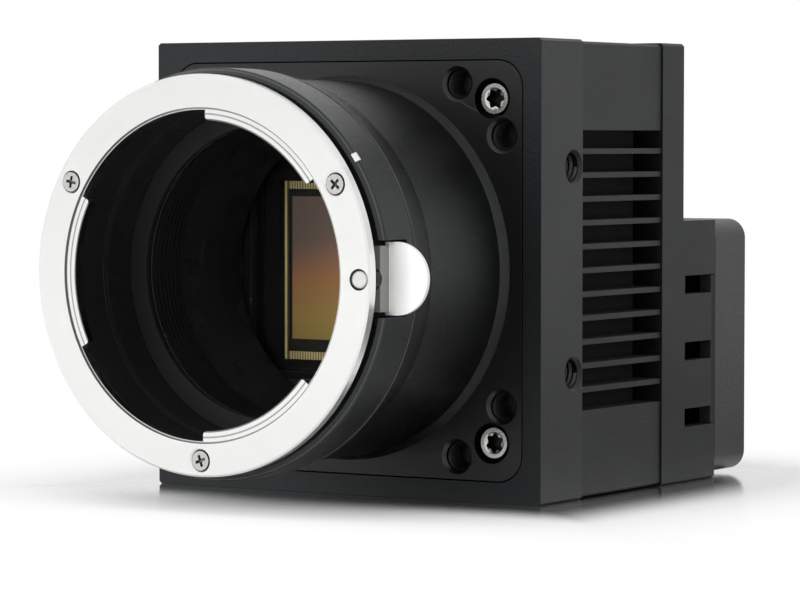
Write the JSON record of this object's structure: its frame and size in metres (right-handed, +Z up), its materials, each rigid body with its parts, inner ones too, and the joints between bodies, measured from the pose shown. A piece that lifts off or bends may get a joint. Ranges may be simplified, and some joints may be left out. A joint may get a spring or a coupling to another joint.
{
  "type": "machine vision camera",
  "caption": "Square finned camera body with a long round bayonet lens mount, a sprung lens release lever, and a square cooling fan on a vented duct at the rear.",
  "frame": {"origin": "centre of the lens flange's front face, on the optical axis", "axes": "+Y along the optical axis from the lens towards the fan, +X to the right seen from the lens side, +Z up"},
  "size_m": [0.0682, 0.1052, 0.068],
  "materials": {
    "black_case": "black anodised, fine satin texture",
    "plate_black": "black anodised, fine matte texture",
    "tube_black": "black anodised, turned, satin",
    "ring_silver": "satin hard chrome, fine turned",
    "spring_steel": "blued spring steel",
    "screw_steel": "bright steel",
    "black_screw": "black oxide",
    "lever_steel": "satin nickel on steel",
    "pin_steel": "ground steel",
    "baffle_black": "black anodised, matte",
    "filter": "coated filter glass",
    "lid_glass": "coated cover glass",
    "gasket_rubber": "soft black sheet",
    "retainer_black": "black moulded",
    "ceramic": "dark ceramic",
    "bond_gold": "gold plated pads and wires",
    "silicon": "coloured micro lenses on silicon",
    "board_green": "solder resist on glass fibre",
    "chip_black": "moulded package",
    "pad_grey": "soft heat pad",
    "connector_black": "moulded connector",
    "brass_nickel": "nickel plated brass",
    "gold_contact": "gold plated",
    "insulator_white": "white insulator",
    "led_green": "diffuse light",
    "fan_plastic": "black moulded, fine grain",
    "sheet_black": "soft gasket",
    "copper_coil": "steel poles with copper coils",
    "magnet_dark": "bonded ferrite"
  },
  "bodies": {
    "camera": {"bayonet_ring": "ring_silver", "bayonet_ring_screws": "screw_steel", "bayonet_spring": "spring_steel", "board_connectors": "connector_black", "board_screws": "screw_steel", "board_spacers": "brass_nickel", "coax_contacts": "gold_contact", "coax_inserts": "insulator_white", "coax_jacks": "brass_nickel", "coax_nuts": "brass_nickel", "face_plate": "plate_black", "face_plate_screws": "screw_steel", "fan_bearing": "brass_nickel", "fan_frame": "fan_plastic", "fan_gasket": "sheet_black", "fan_screws": "screw_steel", "fan_stator": "copper_coil", "filter_gasket": "gasket_rubber", "filter_glass": "filter", "filter_retainer": "retainer_black", "frame_screws": "black_screw", "front_frame": "black_case", "interface_board": "board_green", "lever_spring": "spring_steel", "memory_chips": "chip_black", "mid_housing": "black_case", "mount_tube": "tube_black", "power_insert": "connector_black", "power_nut": "brass_nickel", "power_pins": "gold_contact", "power_shell": "brass_nickel", "processing_board": "board_green", "processor_chip": "chip_black", "rear_board_spacers": "brass_nickel", "rear_cover": "black_case", "rear_cover_screws": "black_screw", "retainer_screws": "screw_steel", "sensor_board": "board_green", "sensor_board_screws": "screw_steel", "sensor_bond_frame": "bond_gold", "sensor_die": "silicon", "sensor_lid": "lid_glass", "sensor_package": "ceramic", "status_led": "led_green", "thermal_pad": "pad_grey", "throat_baffle": "baffle_black", "tube_screws": "black_screw"},
    "rotor": {"fan_rotor": "fan_plastic", "rotor_magnet": "magnet_dark", "fan_shaft": "pin_steel"},
    "lever": {"release_lever": "lever_steel", "lock_pin": "pin_steel"}
  },
  "joints": [
    {"name": "fan_spin", "type": "hinge", "parent": "camera", "child": "rotor", "pos_m": [0.014, 0.098, -0.0134], "axis": [0, 1, 0], "continuous": true},
    {"name": "lens_release", "type": "slide", "parent": "camera", "child": "lever", "axis": [0, 1, 0], "range_m": [0, 0.002], "stiffness_N_per_m": 800, "springref_m": -0.003, "deforming": ["lever_spring"]}
  ]
}
